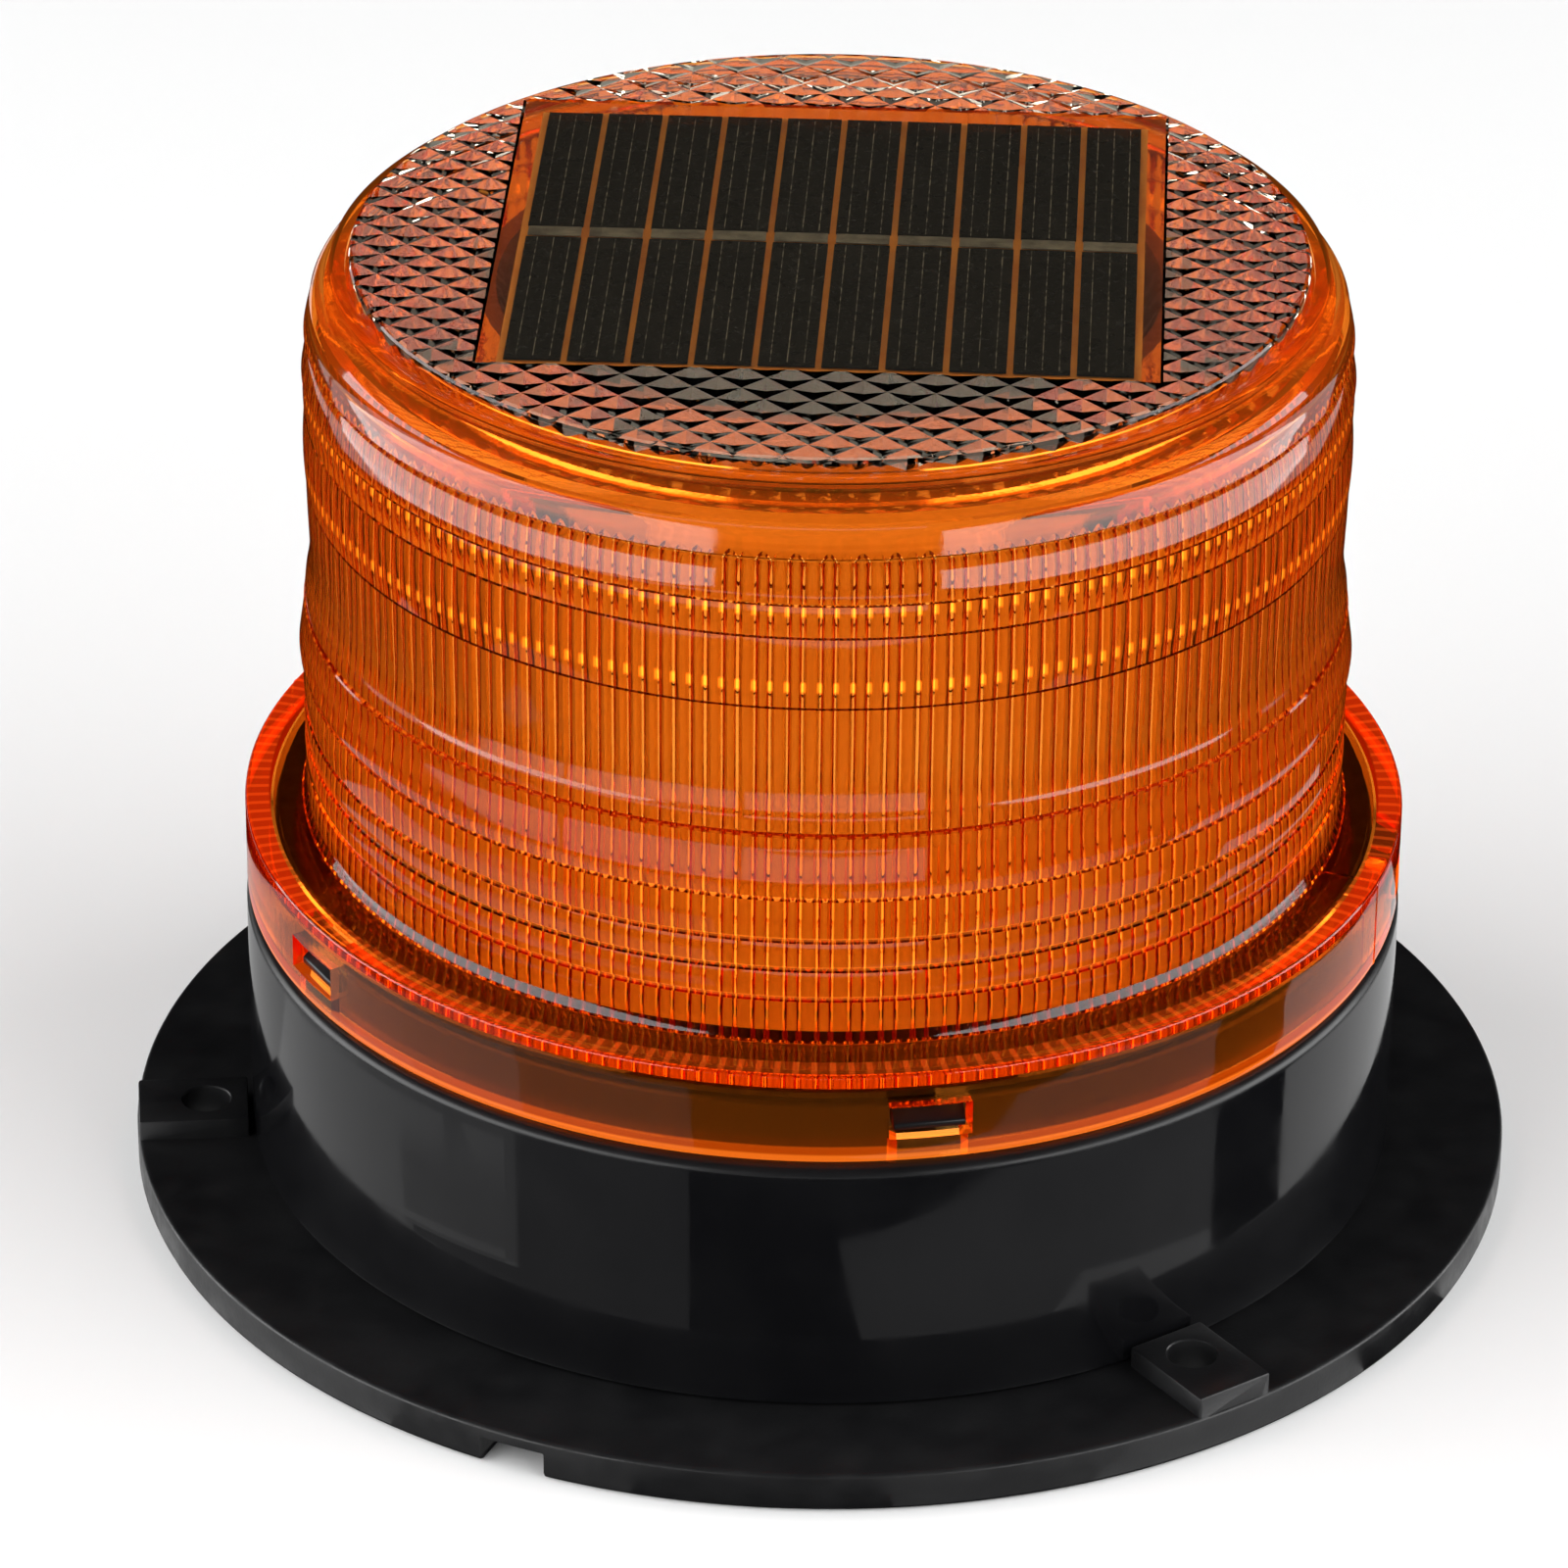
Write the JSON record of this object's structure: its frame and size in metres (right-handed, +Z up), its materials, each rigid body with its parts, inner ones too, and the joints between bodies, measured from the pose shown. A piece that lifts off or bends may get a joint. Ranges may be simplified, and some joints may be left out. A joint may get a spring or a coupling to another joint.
{
  "type": "barricade warning light",
  "caption": "Round solar warning beacon: banded amber lens, clear prism cover over a solar panel, clip-on black base with lugs for screw mounting.",
  "frame": {"origin": "bottom centre of the mounting base, on the surface it stands on", "axes": "+Z up along the lens axis, -Y towards the front, +X to the right seen from the front"},
  "size_m": [0.148, 0.148, 0.1065],
  "materials": {
    "black_satin": "satin black, fine moulded grain",
    "seal_rubber": "black elastomer",
    "black_gloss": "polished black",
    "amber_lens": "clear amber, polished, fluted inside",
    "clear_cover": "water-clear, polished, prisms on the underside",
    "backsheet": "thin translucent sheet over the amber plate",
    "silicon": "blue-black silicon under clear resin",
    "white_board": "white solder mask",
    "reflector_white": "glossy white",
    "led_epoxy": "tinted clear epoxy",
    "tray_black": "black moulded plastic",
    "battery_wrap": "printed sleeve, left plain",
    "contact_steel": "nickel-plated spring steel",
    "board_green": "green solder mask",
    "chip_black": "moulded epoxy",
    "capacitor_sleeve": "dark blue sleeve",
    "inductor_wound": "ferrite drum",
    "screw_steel": "zinc-plated steel",
    "switch_shell": "tinned steel shell",
    "switch_knob": "ivory plastic",
    "wire_red": "red insulation",
    "wire_black": "black insulation"
  },
  "bodies": {
    "light": {"base_plate": "black_satin", "base_screw_1": "screw_steel", "base_screw_2": "screw_steel", "base_screw_3": "screw_steel", "base_seal": "seal_rubber", "battery_cell_1": "battery_wrap", "battery_cell_2": "battery_wrap", "battery_cell_3": "battery_wrap", "battery_contact_left": "contact_steel", "battery_contact_right": "contact_steel", "battery_lead_black": "wire_black", "battery_lead_red": "wire_red", "battery_tray": "tray_black", "board_capacitor": "capacitor_sleeve", "board_chip": "chip_black", "board_inductor": "inductor_wound", "board_screw_1": "screw_steel", "board_screw_2": "screw_steel", "control_board": "board_green", "housing": "black_gloss", "led_1": "led_epoxy", "led_2": "led_epoxy", "led_3": "led_epoxy", "led_4": "led_epoxy", "led_5": "led_epoxy", "led_6": "led_epoxy", "led_board": "white_board", "led_lead_black": "wire_black", "led_lead_red": "wire_red", "lens": "amber_lens", "lens_gasket": "seal_rubber", "reflector": "reflector_white", "solar_backsheet": "backsheet", "solar_cell_01": "silicon", "solar_cell_02": "silicon", "solar_cell_03": "silicon", "solar_cell_04": "silicon", "solar_cell_05": "silicon", "solar_cell_06": "silicon", "solar_cell_07": "silicon", "solar_cell_08": "silicon", "solar_cell_09": "silicon", "solar_cell_10": "silicon", "solar_cell_11": "silicon", "solar_cell_12": "silicon", "solar_cell_13": "silicon", "solar_cell_14": "silicon", "solar_cell_15": "silicon", "solar_cell_16": "silicon", "solar_cell_17": "silicon", "solar_cell_18": "silicon", "solar_cell_19": "silicon", "solar_cell_20": "silicon", "solar_lead_black": "wire_black", "solar_lead_red": "wire_red", "switch_body": "switch_shell", "top_cover": "clear_cover"},
    "switch_knob": {"switch_slider": "switch_knob"}
  },
  "joints": [
    {"name": "switch_slide", "type": "slide", "parent": "light", "child": "switch_knob", "axis": [1, 0, 0], "range_m": [0, 0.004]}
  ]
}
